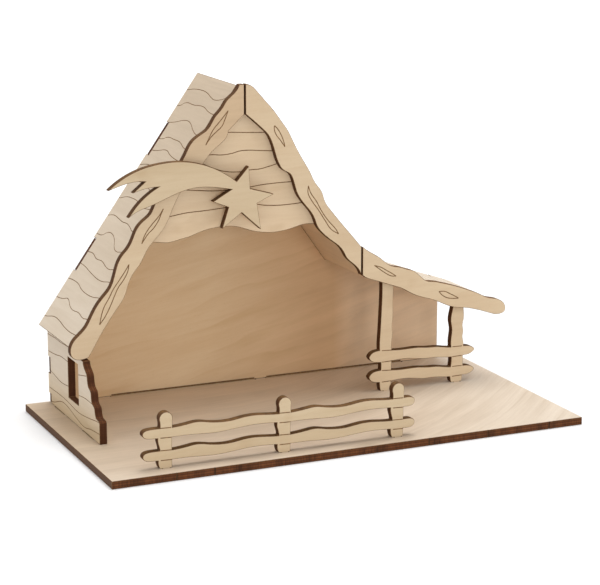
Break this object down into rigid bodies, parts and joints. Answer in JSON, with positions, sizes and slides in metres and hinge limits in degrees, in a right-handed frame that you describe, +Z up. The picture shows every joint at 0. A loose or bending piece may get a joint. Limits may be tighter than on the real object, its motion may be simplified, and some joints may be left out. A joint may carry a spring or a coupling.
{
  "type": "nativity stable",
  "caption": "Small plywood nativity stable slotted together on a flat base: open front, steep roof, lean-to, wavy barge boards, comet star, window and low fences.",
  "frame": {"origin": "middle of the base's underside", "axes": "+Z up, +X along the front to the lean-to's side, +Y from the front to the back panel"},
  "size_m": [0.26, 0.142, 0.1777],
  "materials": {
    "sheet_ply": "bare sanded plywood, laser-cut, with burnt brown edges and engraved lines",
    "trim_ply": "bare sanded plywood, laser-cut, with burnt brown edges and engraved knots"
  },
  "bodies": {
    "root": {"base_plate": "sheet_ply", "back_panel": "sheet_ply", "left_wall": "sheet_ply", "roof_left": "sheet_ply", "roof_right": "sheet_ply", "leanto_roof": "sheet_ply", "gable_panel": "sheet_ply", "barge_left": "trim_ply", "barge_right": "trim_ply", "barge_leanto": "trim_ply", "comet_star": "trim_ply", "leanto_frame": "trim_ply", "front_fence": "trim_ply"}
  },
  "joints": []
}
